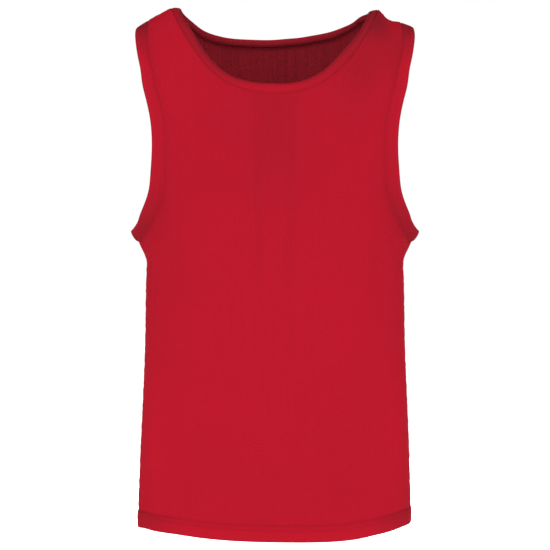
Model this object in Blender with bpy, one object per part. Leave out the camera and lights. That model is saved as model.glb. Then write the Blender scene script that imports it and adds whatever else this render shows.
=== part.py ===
"""A sleeveless mesh training bib, filled out and hollow, open at the neck, armholes and hem.

The front and the back are walls of knit that lie on one smooth upper-body form. They meet at
the side seams and the shoulder seams. A folded rib band is sewn round the neck, and one round
each armhole. The hem is turned up on both panels.

+X is to the right as the front is seen, the front faces -Y, and +Z is up. The origin is midway
between the two neck ends of the shoulder seams. All sizes here are in millimetres, and they
become metres where a mesh is made.
"""
import bpy
import numpy as np

MM = 0.001

# Walls and seams
PANEL_WALL = 1.2
BAND_WALL = 2.0
SEAM_GAP = 0.3
HEM_DEPTH = 20.0
HEM_RAISE = 0.7
HEM_STEP = 1.0

# The upper-body form: what the cloth would lie on, one row for each height below the shoulder
FORM_COLUMNS = ("height", "half_width", "front", "back")
FORM = np.array([
    (-680.0, 178.8, 118.0, 112.0),
    (-600.0, 176.8, 115.4, 107.4),
    (-520.0, 173.8, 113.6, 103.6),
    (-450.0, 170.8, 113.2, 101.6),
    (-390.0, 169.5, 114.6, 102.8),
    (-340.0, 168.0, 117.0, 107.0),
    (-290.0, 163.2, 118.0, 110.8),
    (-243.0, 160.0, 113.6, 111.4),
    (-185.0, 172.5, 100.0, 107.2),
    (-152.0, 190.0, 89.0, 102.2),
    (-118.0, 228.0, 76.5, 94.6),
    (-85.0, 290.0, 64.6, 84.4),
    (-60.0, 322.0, 55.6, 74.6),
    (-40.0, 335.0, 46.4, 62.8),
    (-17.0, 340.0, 30.6, 38.2),
    (0.0, 340.0, 0.0, 0.0),
])
FULLNESS = 2.4

# The shoulder line falls away outside the neck
SHOULDER_START = 134.5
SHOULDER_SLOPE = 0.55
SHOULDER_BEND = 3.0
SHOULDER_REACH = (-150.0, -30.0)
SHOULDER_TIP = 165.0

# The armhole seam: how far round from the side it lies, in degrees, at each height
UNDERARM = -308.0
ARMHOLE = np.array([
    (-308.0, 0.0),
    (-298.0, 6.4),
    (-284.0, 11.7),
    (-263.0, 19.8),
    (-243.0, 26.2),
    (-217.0, 31.8),
    (-185.0, 37.6),
    (-152.0, 45.0),
    (-118.0, 53.0),
    (-85.0, 61.6),
    (-60.0, 64.2),
    (-30.0, 65.1),
    (0.0, 65.2),
])

# The cloth at the underarm is drawn out to a blunt point that fades below, above and inwards
WING_OUT = 15.0
WING_BELOW = (-338.0, -298.0)
WING_ABOVE = (-262.0, -205.0)
WING_DEPTH = 60.0
WING_POINT = 1.2

# Neck: half width at the shoulder line, how far the band rolls in there, drop at the middle,
# the roundness of the curve, and how lopsided it is
NECK_EDGE_HALF = 123.5
NECK_SEAM_HALF = 136.0
NECK_ROLL = 2.8
NECK = {
    "front": {"edge_drop": 104.0, "seam_drop": 116.0, "round": (2.7, 0.96), "lop": 0.0},
    "back": {"edge_drop": 36.0, "seam_drop": 48.0, "round": (3.0, 0.78), "lop": 0.6},
}

# Rows are level at the hem and begin to sag on the way up; the heights of the middle of the
# two rows that end at the underarm and at the shoulder tip
SAG_START = -480.0
ROW_MIDDLE = {
    "front": {"underarm": -334.0, "tip": -134.0},
    "back": {"underarm": -322.0, "tip": -66.0},
}

# The hem drops a little in the middle and rises more at its right end, and its front is
# turned a little to one side
HEM_MIDDLE_DROP = 9.0
HEM_SIDE_RISE = 7.0
HEM_END_RISE = 3.6
HEM_FADE = 150.0
HEM_SKEW = 0.15

# From the armhole seam to the armhole's edge, by share of the way from underarm to shoulder
BAND_COLUMNS = ("share", "out", "deep", "up")
ARMHOLE_BAND = np.array([
    (0.00, 9.0, 0.0, 16.0),
    (0.06, 11.5, -3.0, 11.5),
    (0.14, 12.0, -5.0, 10.0),
    (0.24, 14.4, -7.0, 7.5),
    (0.35, 17.6, -8.5, 3.5),
    (0.50, 17.4, -8.6, 1.5),
    (0.66, 17.2, -7.5, 2.5),
    (0.80, 16.8, -6.0, 3.0),
    (0.88, 17.6, -5.0, 0.5),
    (0.94, 17.6, -3.0, -5.0),
    (1.00, 17.5, 0.0, -9.0),
])
BAND_BULGE = 1.4
BAND_CURL = 1.0
NECK_BAND_CURL = 0.9
BAND_ACROSS = (0.0, 0.35, 0.75, 1.0)
BAND_FULL = (1.0, 1.0, 1.0, 0.55)

# Largest soft folds: place, half width, half length, lean to the right going up, and depth
FOLD_COLUMNS = ("x", "height", "across", "along", "lean", "depth")
FOLDS = {
    "front": np.array([
        (0.0, -170.0, 30.0, 62.0, 0.0, 3.2),
        (-24.0, -285.0, 9.0, 62.0, -4.0, 1.4),
        (22.0, -275.0, 9.0, 66.0, 5.0, 1.4),
        (-134.0, -335.0, 10.0, 55.0, -6.0, 1.8),
        (132.0, -330.0, 10.0, 50.0, 7.0, 1.8),
        (112.0, -72.0, 30.0, 26.0, 30.0, 3.6),
        (152.0, 0.0, 13.0, 38.0, 20.0, 7.4),
        (-92.0, -560.0, 16.0, 90.0, 3.0, -1.6),
        (104.0, -540.0, 15.0, 80.0, -4.0, -1.6),
    ]),
    "back": np.array([
        (0.0, -420.0, 46.0, 110.0, 0.0, 3.0),
        (-58.0, -330.0, 12.0, 90.0, 5.0, 1.8),
        (64.0, -345.0, 13.0, 96.0, -4.0, 2.0),
        (-120.0, -330.0, 11.0, 60.0, 14.0, 2.0),
        (118.0, -320.0, 11.0, 55.0, -16.0, 2.0),
        (152.0, 0.0, 13.0, 38.0, 20.0, 7.4),
        (-84.0, -570.0, 17.0, 90.0, -3.0, -2.0),
        (92.0, -555.0, 15.0, 85.0, 4.0, -2.0),
    ]),
}

# Fineness of the walls
COLUMNS = 30
FINE = 600
HEM_ROWS = 3
BODY_ROWS = 11
UNDERARM_ROWS = (-350.0, -335.0, -323.0, -314.0, UNDERARM)
ARMHOLE_ROWS = 18
SHOULDER_ROWS = 4

# Looks: colour and roughness
EYELET_KNIT = ((0.49, 0.010, 0.026, 1.0), 0.85)
FOLDED_RIB = ((0.53, 0.011, 0.028, 1.0), 0.8)


def smooth_step(low, high, value):
    """0 below low, 1 above high, and a smooth S between."""
    share = np.clip((value - low) / (high - low), 0.0, 1.0)
    return share * share * (3.0 - 2.0 * share)


def smooth_curve(knots, values, at):
    """A smooth curve through the knots: the natural cubic spline."""
    width = np.diff(knots)
    slope = np.diff(values) / width
    inner = np.diag(2.0 * (width[1:] + width[:-1]))
    inner += np.diag(width[1:-1], 1) + np.diag(width[1:-1], -1)
    bend = np.zeros(len(knots))
    bend[1:-1] = np.linalg.solve(inner, 6.0 * np.diff(slope))
    at = np.clip(at, knots[0], knots[-1])
    cell = np.clip(np.searchsorted(knots, at, side="right") - 1, 0, len(width) - 1)
    before = at - knots[cell]
    after = knots[cell + 1] - at
    span = width[cell]
    return (bend[cell] * after ** 3 + bend[cell + 1] * before ** 3) / (6.0 * span) \
        + (values[cell] / span - bend[cell] * span / 6.0) * after \
        + (values[cell + 1] / span - bend[cell + 1] * span / 6.0) * before


def half_width_at(height):
    return smooth_curve(FORM[:, 0], FORM[:, FORM_COLUMNS.index("half_width")], height)


def depth_at(side, height):
    """Depth at the middle. Its square runs smoothly, so the top of the shoulder is round."""
    squares = FORM[:, FORM_COLUMNS.index(side)] ** 2
    return np.sqrt(np.maximum(smooth_curve(FORM[:, 0], squares, height), 0.0))


def wing_at(height):
    rise = smooth_step(*WING_BELOW, height)
    return WING_OUT * rise * (1.0 - smooth_step(*WING_ABOVE, height))


def shoulder_drop(x):
    """How far the shoulder line has fallen at x: flat at the neck, then a steady slope."""
    past = np.abs(x) - SHOULDER_START
    return -SHOULDER_SLOPE * 0.5 * (past + np.sqrt(past ** 2 + SHOULDER_BEND ** 2))


def hem_shift(x, height):
    """Rise or drop of the hem, dying out upwards."""
    share = np.clip(x / FORM[0, 1], -1.0, 1.0)
    shift = HEM_SIDE_RISE - HEM_MIDDLE_DROP * (1.0 - share ** 2) + HEM_END_RISE * share ** 3
    bottom = FORM[0, 0]
    return shift * (1.0 - smooth_step(bottom, bottom + HEM_FADE, height))


def on_form(side, x, height):
    """Points of the cloth's outer face at x and a height on the form.

    A level section is a superellipse: depth = middle depth * (1 - |x / half width|^n)^(1/n).
    """
    half_width = half_width_at(height)
    share = np.clip(x / half_width, -1.0, 1.0)
    if side == "front":
        skew = HEM_SKEW * (1.0 - smooth_step(FORM[0, 0], UNDERARM, height))
        share = share - skew * (1.0 - share ** 2)
    inside = np.maximum(1.0 - np.abs(share) ** FULLNESS, 0.0)
    depth = depth_at(side, height) * inside ** (1.0 / FULLNESS)
    wing = wing_at(height) * np.maximum(1.0 - depth / WING_DEPTH, 0.0) ** WING_POINT
    facing = -1.0 if side == "front" else 1.0
    slope_share = smooth_step(*SHOULDER_REACH, height)
    across = x + np.sign(x) * wing
    away = facing * (depth + 0.5 * SEAM_GAP)
    up = height + shoulder_drop(x) * slope_share + hem_shift(x, height)
    return np.stack([across, away, up], axis=-1)


def along(points):
    """Distance travelled along a line of points, as a share of its whole length."""
    steps = np.linalg.norm(np.diff(points, axis=0), axis=1)
    return np.concatenate([[0.0], np.cumsum(steps)]) / steps.sum()


def pick(share, values, wanted):
    """Values at the wanted shares of a line's length."""
    return np.stack([np.interp(wanted, share, column) for column in values.T], axis=-1)


def armhole_seam(side):
    """x and height on the form along the armhole seam, from the underarm to the shoulder."""
    height = UNDERARM * (0.5 + 0.5 * np.cos(np.linspace(0.0, np.pi, FINE)))
    turned = np.maximum(smooth_curve(ARMHOLE[:, 0], ARMHOLE[:, 1] ** 2, height), 0.0) ** 0.5
    x = half_width_at(height) * np.cos(np.radians(turned)) ** (2.0 / FULLNESS)
    points = on_form(side, x, height)
    return np.stack([x, height], axis=-1), along(points)


def row_plan(side):
    """One line for each row: end x, end height, middle height, two powers and the lop."""
    bottom = FORM[0, 0]
    hem_top = bottom + HEM_DEPTH
    body = np.linspace(hem_top + HEM_STEP, UNDERARM_ROWS[0], BODY_ROWS + 1)[:-1]
    hem = np.linspace(bottom, hem_top, HEM_ROWS)
    side_heights = np.concatenate([hem, body, UNDERARM_ROWS])
    middle = ROW_MIDDLE[side]
    sag = smooth_step(SAG_START, UNDERARM, side_heights) * (middle["underarm"] - UNDERARM)
    rows = [(half_width_at(h), h, h + s, 2.0, 1.0, 0.0) for h, s in zip(side_heights, sag)]

    seam, share = armhole_seam(side)
    even = np.linspace(0.0, 1.0, ARMHOLE_ROWS + 1)[1:]
    eased = 0.5 * (even + 0.5 - 0.5 * np.cos(np.pi * even))
    ends = pick(share, seam, eased)
    for (x, h), part in zip(ends, eased):
        centre = middle["underarm"] + (middle["tip"] - middle["underarm"]) * part
        rows.append((x, h, centre, 2.0 + part ** 2, 1.0 + 0.5 * part ** 3, 0.0))

    power, root = NECK[side]["round"]
    lop = NECK[side]["lop"]
    for part in np.linspace(0.0, 1.0, SHOULDER_ROWS + 1)[1:]:
        x = SHOULDER_TIP + (NECK_SEAM_HALF - SHOULDER_TIP) * part
        centre = middle["tip"] + (-NECK[side]["seam_drop"] - middle["tip"]) * part
        rows.append((x, 0.0, centre, 3.0 + (power - 3.0) * part,
                     1.5 + (root - 1.5) * part, lop * part))
    return np.array(rows)


def trace(side, end_x, end_height, middle_height, power, root, lop, columns):
    """One row: height = end + (middle - end) * (1 - |x / end x|^power)^root, evenly spaced.

    Where a row is lopsided, its power falls towards the right.
    """
    quarter = np.linspace(-0.5 * np.pi, 0.5 * np.pi, FINE * 2 + 1)
    share = np.sin(quarter)
    x = end_x * share
    hang = np.maximum(1.0 - np.abs(share) ** (power - lop * share), 0.0) ** root
    height = end_height + (middle_height - end_height) * hang
    points = on_form(side, x, height)
    wanted = np.linspace(0.0, 1.0, columns + 1)
    plan = np.stack([x, height], axis=-1)
    return pick(along(points), plan, wanted)


def face_normals(points, facing):
    """Outward directions on a grid of points, by differences along rows and columns."""
    across = np.gradient(points, axis=1)
    upward = np.gradient(points, axis=0)
    normal = np.cross(across, upward)
    normal *= facing * np.sign(np.mean(normal[..., 1]))
    return normal / np.linalg.norm(normal, axis=-1, keepdims=True)


def level_at_seams(normal, rows):
    """At the side and shoulder seams the wall's end lies square to the front-back way."""
    for end in (0, -1):
        normal[rows, end, 1] = 0.0
        normal[rows, end] /= np.linalg.norm(normal[rows, end], axis=-1, keepdims=True)
    return normal


def fold_depth(side, x, height):
    """Sum of the soft folds: each one is a Gaussian, long one way and leaning."""
    total = np.zeros(np.shape(x))
    for row in FOLDS[side]:
        fold = dict(zip(FOLD_COLUMNS, row))
        lean = np.radians(fold["lean"])
        right = x - fold["x"]
        upward = height - fold["height"]
        across = right * np.cos(lean) - upward * np.sin(lean)
        lengthwise = right * np.sin(lean) + upward * np.cos(lean)
        total += fold["depth"] * np.exp(-(across / fold["across"]) ** 2
                                        - (lengthwise / fold["along"]) ** 2)
    return total


def panel_grid(side):
    """Outer points and outward directions of a panel, row by row from the hem to the neck."""
    facing = -1.0 if side == "front" else 1.0
    plan = row_plan(side)
    flat = np.stack([trace(side, *row, COLUMNS) for row in plan])
    x, height = flat[..., 0], flat[..., 1]
    armhole_first = HEM_ROWS + BODY_ROWS + len(UNDERARM_ROWS) - 1
    tip = armhole_first + ARMHOLE_ROWS
    seams = [r for r in range(len(plan)) if r <= armhole_first or r >= tip]
    points = on_form(side, x, height)
    normal = level_at_seams(face_normals(points, facing), seams)
    points = points - fold_depth(side, x, height)[..., None] * normal
    normal = level_at_seams(face_normals(points, facing), seams)
    return {"outer": points, "normal": normal, "underarm": armhole_first, "tip": tip}


def cloth(name, colour, roughness):
    material = bpy.data.materials.new(name)
    material.use_nodes = True
    shader = material.node_tree.nodes["Principled BSDF"]
    shader.inputs["Base Color"].default_value = colour
    shader.inputs["Roughness"].default_value = roughness
    shader.inputs["Metallic"].default_value = 0.0
    return material


def new_object(name, points, faces, look, collection):
    """A mesh object from points in millimetres, shaded smooth with sharp rims."""
    mesh = bpy.data.meshes.new(name)
    mesh.from_pydata((points * MM).tolist(), [], faces)
    mesh.validate()
    mesh.materials.append(cloth(name + "_cloth", *look))
    mesh.shade_smooth()
    mesh.set_sharp_from_angle(angle=np.radians(50.0))
    made = bpy.data.objects.new(name, mesh)
    collection.objects.link(made)
    return made


def wall(name, outer, inner, facing, collection):
    """A closed wall between two grids of points, with its four rims."""
    rows, columns = outer.shape[:2]
    index = np.arange(rows * columns).reshape(rows, columns)
    low, right = index[:-1, :-1], index[:-1, 1:]
    high, corner = index[1:, :-1], index[1:, 1:]
    front = np.stack([low, right, corner, high], axis=-1).reshape(-1, 4)
    back = front[:, ::-1] + rows * columns
    border = np.concatenate([index[0, :-1], index[:-1, -1], index[-1, :0:-1], index[:0:-1, 0]])
    following = np.roll(border, -1)
    shift = rows * columns
    rim = np.stack([border, border + shift, following + shift, following], axis=-1)
    faces = np.concatenate([front, back, rim])
    if facing > 0.0:
        faces = faces[:, ::-1]
    points = np.concatenate([outer.reshape(-1, 3), inner.reshape(-1, 3)])
    return new_object(name, points, faces.tolist(), EYELET_KNIT, collection)


def ring(name, loops, collection):
    """A closed ring: one closed section of points at each station round the opening."""
    stations, around = loops.shape[:2]
    index = np.arange(stations * around).reshape(stations, around)
    after = np.roll(index, -1, axis=0)
    faces = np.stack([index, np.roll(index, -1, axis=1),
                      np.roll(after, -1, axis=1), after], axis=-1).reshape(-1, 4)
    points = loops.reshape(-1, 3)
    corners = points[faces]
    volume = np.einsum("ij,ij->", corners[:, 0], np.cross(corners[:, 1], corners[:, 2]))
    volume += np.einsum("ij,ij->", corners[:, 0], np.cross(corners[:, 2], corners[:, 3]))
    if volume < 0.0:
        faces = faces[:, ::-1]
    return new_object(name, points, faces.tolist(), FOLDED_RIB, collection)


def band_loops(seam, normal, edge, curl):
    """Sections of a folded band from its seam to its edge, a little rounded and curled in."""
    outward = edge - seam
    outward -= normal * np.sum(outward * normal, axis=-1, keepdims=True)
    outward /= np.linalg.norm(outward, axis=-1, keepdims=True)
    start = seam + outward * SEAM_GAP - normal * 0.5 * PANEL_WALL
    end = edge - normal * (0.5 * PANEL_WALL + curl)
    outer, inner = [], []
    for share, full in zip(BAND_ACROSS, BAND_FULL):
        middle = start + (end - start) * share + normal * BAND_BULGE * 4.0 * share * (1.0 - share)
        outer.append(middle + normal * 0.5 * BAND_WALL * full)
        inner.append(middle - normal * 0.5 * BAND_WALL * full)
    return np.stack(outer + inner[::-1], axis=1)


def join_halves(front, back):
    """Front half, then the back half in return order, with one shared station at each seam."""
    first = 0.5 * (front[0] + back[0])
    last = 0.5 * (front[-1] + back[-1])
    return np.concatenate([[first], front[1:-1], [last], back[-2:0:-1]])


def unit(vectors):
    return vectors / np.linalg.norm(vectors, axis=-1, keepdims=True)


def armhole_lines(panel, column, outward, facing):
    """Seam points, directions and edge points of one armhole on one panel."""
    rows = slice(panel["underarm"], panel["tip"] + 1)
    seam = panel["outer"][rows, column]
    normal = panel["normal"][rows, column]
    share = along(seam)
    out, deep, up = (smooth_curve(ARMHOLE_BAND[:, 0], ARMHOLE_BAND[:, i], share)
                     for i in (1, 2, 3))
    offset = np.stack([outward * out, facing * deep, up], axis=-1)
    return seam, normal, seam + offset


def armhole_band(name, front, back, column, outward, collection):
    halves = (armhole_lines(front, column, outward, -1.0),
              armhole_lines(back, column, outward, 1.0))
    seam, normal, edge = (join_halves(a, b) for a, b in zip(*halves))
    return ring(name, band_loops(seam, unit(normal), edge, BAND_CURL), collection)


def neck_edge(side):
    """Edge of the neck opening on one panel, on the form."""
    drop = NECK[side]["edge_drop"]
    power, root = NECK[side]["round"]
    lop = NECK[side]["lop"]
    flat = trace(side, NECK_EDGE_HALF, 0.0, -drop, power, root, lop, COLUMNS)
    points = on_form(side, flat[..., 0], flat[..., 1])
    points[..., 2] -= NECK_ROLL * smooth_step(0.6, 1.0, np.abs(flat[..., 0]) / NECK_EDGE_HALF)
    return points


def neck_band(name, front, back, collection):
    seam = join_halves(front["outer"][-1], back["outer"][-1])
    normal = unit(join_halves(front["normal"][-1], back["normal"][-1]))
    edge = join_halves(neck_edge("front"), neck_edge("back"))
    return ring(name, band_loops(seam, normal, edge, NECK_BAND_CURL), collection)


def panel(name, grid, facing, collection):
    """A panel's wall; its turned-up hem stands a little proud outside."""
    raise_by = np.zeros(grid["outer"].shape[:2] + (1,))
    raise_by[:HEM_ROWS] = HEM_RAISE
    outer = grid["outer"] + grid["normal"] * raise_by
    inner = grid["outer"] - grid["normal"] * PANEL_WALL
    return wall(name, outer, inner, facing, collection)


def main():
    for old in list(bpy.data.objects):
        bpy.data.objects.remove(old, do_unlink=True)
    bib = bpy.data.collections.new("mesh_training_bib")
    bpy.context.scene.collection.children.link(bib)
    front = panel_grid("front")
    back = panel_grid("back")
    panel("front_panel", front, -1.0, bib)
    panel("back_panel", back, 1.0, bib)
    neck_band("neck_band", front, back, bib)
    armhole_band("armhole_band_left", front, back, 0, -1.0, bib)
    armhole_band("armhole_band_right", front, back, -1, 1.0, bib)


main()
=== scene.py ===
# %% [markdown]
# # A mesh training bib
# A training bib is a front and a back of open knit with two shoulder seams, two side seams,
# folded rib round the neck and the armholes, and a hem turned up with two rows of stitches.
# Here it is filled out as if worn, with nobody in it: one hollow form, open at the neck, the
# armholes and the hem.
#
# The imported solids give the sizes. This script makes the finer cloth that is seen in their
# place, in millimetres, and turns them into metres where a mesh is made.

# %% Frame
import math

import bpy
import numpy as np
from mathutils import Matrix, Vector


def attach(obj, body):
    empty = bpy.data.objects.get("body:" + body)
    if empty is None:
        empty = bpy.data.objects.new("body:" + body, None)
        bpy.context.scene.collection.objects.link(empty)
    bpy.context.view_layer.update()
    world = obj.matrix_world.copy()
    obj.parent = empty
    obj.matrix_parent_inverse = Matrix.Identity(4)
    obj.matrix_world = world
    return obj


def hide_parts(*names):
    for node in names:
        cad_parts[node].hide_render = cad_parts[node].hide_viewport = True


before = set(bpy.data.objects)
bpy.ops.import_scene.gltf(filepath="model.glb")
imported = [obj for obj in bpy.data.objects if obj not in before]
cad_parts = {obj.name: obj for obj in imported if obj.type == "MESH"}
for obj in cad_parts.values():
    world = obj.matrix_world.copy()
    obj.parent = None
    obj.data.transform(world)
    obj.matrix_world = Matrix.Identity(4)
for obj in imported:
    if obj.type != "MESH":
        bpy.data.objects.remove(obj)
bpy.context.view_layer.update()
MM = 0.001
print("nodes in the frame:", sorted(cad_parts))

# %% [markdown]
# ## Camera
# The picture was taken from straight in front with a long lens, a little above the garment's
# middle: the back of the neck shows above the front, and the hem bows down. How far the camera
# stands and how much it takes in fix the lens. It could be shifted sideways on its sensor, but
# a tilt of under two degrees is what a person with a tripod would use.

# %% Camera
CAMERA_DISTANCE = 2600.0
CAMERA_HEIGHT = -270.0
PICTURE_CENTRE = -350.6
PICTURE_SPAN = 722.3
SENSOR = 36.0


def new_object(name, data):
    made = bpy.data.objects.new(name, data)
    bpy.context.scene.collection.objects.link(made)
    return made


def put_and_aim(thing, place):
    """Puts a camera or a lamp at a place and turns it to the picture's centre."""
    thing.location = Vector(place) * MM
    aim = Vector((0, 0, PICTURE_CENTRE)) - Vector(place)
    thing.rotation_mode = "QUATERNION"
    thing.rotation_quaternion = aim.to_track_quat("-Z", "Y")


def make_camera():
    """Lens = sensor * distance / span."""
    data = bpy.data.cameras.new("camera")
    data.sensor_width = SENSOR
    distance = math.hypot(CAMERA_DISTANCE, PICTURE_CENTRE - CAMERA_HEIGHT)
    data.lens = SENSOR * distance / PICTURE_SPAN
    return new_object("camera", data)


camera = make_camera()
put_and_aim(camera, (0.0, -CAMERA_DISTANCE, CAMERA_HEIGHT))
bpy.context.scene.camera = camera
print("lens, mm:", round(camera.data.lens, 1))

# %% [markdown]
# ## The form that the cloth lies on
# A worn garment could be simulated over a body, but its outline would be whatever the cloth
# did. Here the outline is known, so the cloth is laid on a smooth form whose level sections are
# superellipses, squarer than an ellipse. A row of the table gives the half width and the two
# depths at a height, and a spline runs through them.

# %% Sizes of the form
FORM_COLUMNS = ("height", "half_width", "front", "back")
FORM = np.array([
    (-680, 178.8, 118, 112),
    (-600, 176.8, 115.4, 107.4),
    (-520, 173.8, 113.6, 103.6),
    (-450, 170.8, 113.2, 101.6),
    (-390, 169.5, 114.6, 102.8),
    (-340, 168, 117, 107),
    (-290, 163.2, 118, 110.8),
    (-243, 160, 113.6, 111.4),
    (-185, 172.5, 100, 107.2),
    (-152, 190, 89, 102.2),
    (-118, 228, 76.5, 94.6),
    (-85, 290, 64.6, 84.4),
    (-60, 322, 55.6, 74.6),
    (-40, 335, 46.4, 62.8),
    (-17, 340, 30.6, 38.2),
    (0, 340, 0, 0),
])
FULLNESS = 2.4
FACING = {"front": -1.0, "back": 1.0}
HEM = -680.0
UNDERARM = -308.0

# The shoulder line falls away outside the neck
SHOULDER_START = 134.5
SHOULDER_SLOPE = 0.55
SHOULDER_BEND = 3.0
SHOULDER_REACH = (-150.0, -30.0)
SHOULDER_TIP = 165.0

# The cloth at the underarm is drawn out to a blunt point
WING_OUT = 16.0
WING_BELOW = (-338.0, -298.0)
WING_ABOVE = (-262.0, -205.0)
WING_DEPTH = 60.0
WING_POINT = 1.2

# The hem drops in the middle and rises at its right end; the trim is what the plain curve
# misses, by columns x and rise
HEM_MIDDLE_DROP = 9.2
HEM_SIDE_RISE = 5.8
HEM_END_RISE = 3.6
HEM_TRIM = np.array([
    (-179, -2.4), (-176, -1), (-171, 0.8), (-160, 1.3), (-142, 1.4), (-126, 1.6), (-110, 1.2),
    (-90, 0.6), (-60, 0.1), (0, 0), (50, -0.9), (80, -1.4), (110, -0.8), (125, 0.2), (150, 0.7),
    (168, 0.6), (175, -0.9), (179, -2.2),
])
HEM_FLARE = 1.9
HEM_FLARE_FADE = 170.0
HEM_FADE = 150.0
HEM_SKEW = 0.15

PANEL_WALL = 1.2
BAND_WALL = 2.0
print("form rows:", len(FORM), "chest half width, mm:", FORM[6, 1])

# %% Smooth steps and curves


def blend(start, end, part):
    return start + (end - start) * part


def smooth_step(low, high, value):
    """0 below low, 1 above high, and between them 3s^2 - 2s^3 of the share s."""
    share = np.clip((value - low) / (high - low), 0, 1)
    return share * share * (3 - 2 * share)


def smooth_curve(knots, values, at):
    """The natural cubic spline: its bends solve one tridiagonal system."""
    width = np.diff(knots)
    slope = np.diff(values) / width
    inner = np.diag(2 * (width[1:] + width[:-1]))
    inner += np.diag(width[1:-1], 1) + np.diag(width[1:-1], -1)
    bend = np.zeros(len(knots))
    bend[1:-1] = np.linalg.solve(inner, 6 * np.diff(slope))
    at = np.clip(at, knots[0], knots[-1])
    cell = np.clip(np.searchsorted(knots, at, side="right") - 1, 0, len(width) - 1)
    before = at - knots[cell]
    after = knots[cell + 1] - at
    span = width[cell]
    return (bend[cell] * after ** 3 + bend[cell + 1] * before ** 3) / (6 * span) \
        + (values[cell] / span - bend[cell] * span / 6) * after \
        + (values[cell + 1] / span - bend[cell + 1] * span / 6) * before


def table_curve(table, at, column=1):
    return smooth_curve(table[:, 0], table[:, column], at)


def form_value(column, height):
    return table_curve(FORM, height, FORM_COLUMNS.index(column))


def depth_at(side, height):
    """Depth at the middle. Its square runs smoothly, so the top of the shoulder is round."""
    squares = FORM[:, FORM_COLUMNS.index(side)] ** 2
    return np.sqrt(np.maximum(smooth_curve(FORM[:, 0], squares, height), 0))


# %% Points on the form


def shoulder_drop(x):
    """Fall of the shoulder line: a hinge, slope * (p + sqrt(p^2 + b^2)) / 2, past the neck."""
    past = np.abs(x) - SHOULDER_START
    return -SHOULDER_SLOPE * 0.5 * (past + np.sqrt(past ** 2 + SHOULDER_BEND ** 2))


def hem_shift(x, height):
    """Rise or drop of the hem: a parabola and a cubic across, dying out upwards."""
    share = np.clip(x / FORM[0, 1], -1, 1)
    shift = HEM_SIDE_RISE - HEM_MIDDLE_DROP * (1 - share ** 2) + HEM_END_RISE * share ** 3
    shift = shift + table_curve(HEM_TRIM, x)
    return shift * (1 - smooth_step(HEM, HEM + HEM_FADE, height))


def on_form(side, x, height):
    """Outer face of the cloth: depth = middle depth * (1 - |x / half width|^n)^(1/n)."""
    half_width = form_value("half_width", height)
    share = np.clip(x / half_width, -1, 1)
    if side == "front":
        skew = HEM_SKEW * (1 - smooth_step(HEM, UNDERARM, height))
        share = share - skew * (1 - share ** 2)
    inside = np.maximum(1 - np.abs(share) ** FULLNESS, 0)
    depth = depth_at(side, height) * inside ** (1 / FULLNESS)
    wing = WING_OUT * smooth_step(*WING_BELOW, height) * (1 - smooth_step(*WING_ABOVE, height))
    wing = wing * np.maximum(1 - depth / WING_DEPTH, 0) ** WING_POINT
    flare = HEM_FLARE * (1 - smooth_step(HEM, HEM + HEM_FLARE_FADE, height))
    across = x + np.sign(x) * wing - flare * np.clip(-share, 0, 1) ** 2
    away = FACING[side] * depth
    slope_share = smooth_step(*SHOULDER_REACH, height)
    up = height + shoulder_drop(x) * slope_share + hem_shift(x, height)
    return np.stack([across, away, up], axis=-1)


print("depth at the chest, mm:", depth_at("front", np.array([-290.0])).round(1))

# %% [markdown]
# ## Rows of a panel
# A panel is a grid. Level rows would be cut off by the neck and the armholes, so each row is
# slung like a hammock between its two ends: on the side seams, then on the armhole seams, then
# on the shoulder seams. The last row is the neck seam itself, so every edge of the cloth is an
# edge of the grid.

# %% Lines of the armhole and the neck
# Columns: height, degrees round from the side
ARMHOLE = np.array([
    (-308, 0), (-298, 9.4), (-284, 15.8), (-263, 22.8), (-243, 27.6), (-217, 32), (-185, 37.6),
    (-152, 45), (-118, 53), (-85, 61.6), (-60, 64.2), (-30, 65.1), (0, 65.2),
])
NECK_EDGE_HALF = 123.5
NECK_SEAM_HALF = 136.0
NECK_SINK = (2.4, 5.2)
SINK_FROM = 0.6
NECK = {
    "front": {"edge_drop": 104.0, "seam_drop": 116.0, "round": (2.7, 0.96), "lop": 0.0},
    "back": {"edge_drop": 36.0, "seam_drop": 46.1, "round": (3.0, 0.78), "lop": 0.6},
}
# The neck seam takes this part of the trim of the neck's edge
SEAM_FOLLOWS = {"front": 0.3, "back": 1.0}
# Columns: x, rise of the real neck line over the slung curve
TRIM = {
    "front": np.array([
        (-150, 0), (-123, 0), (-117.5, 0.8), (-112.5, 3.6), (-107, 4.2), (-101, 3.4), (-95, 2.4),
        (-89, 1.3), (-81, 0), (-71, -0.6), (-61, -0.4), (-51, 0.1), (-41, 0.8), (-30, 1), (0, 0.8),
        (20, 0.7), (41, 1.4), (61, 2.2), (71, 3.2), (81, 4.2), (91, 4.4), (102, 2.9), (112, 1),
        (123, 0), (150, 0),
    ]),
    "back": np.array([
        (-150, 0), (-123, 1.4), (-115, 2.8), (-98, 0.3), (-82, -1.1), (-66, -1.4), (-33, -0.9),
        (-1, -0.7), (15, 0.5), (31, 1.3), (47, 2.3), (63, 2.3), (79, 1.9), (95, 3), (109, 4.6),
        (114.5, 5.6), (119, 3.8), (125, -0.8), (134, -1.2), (150, 0),
    ]),
}
print("neck opening, mm:", 2.0 * NECK_EDGE_HALF, "by",
      NECK["front"]["edge_drop"] - NECK["back"]["edge_drop"])

# %% Plan of the rows
SAG_START = -480.0
ROW_MIDDLE = {
    "front": {"underarm": -334.0, "tip": -134.0},
    "back": {"underarm": -322.0, "tip": -66.0},
}
HEM_ZONE = 28.0
HEM_END_DEEPER = 1.08
HEM_ROWS = 29
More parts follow.
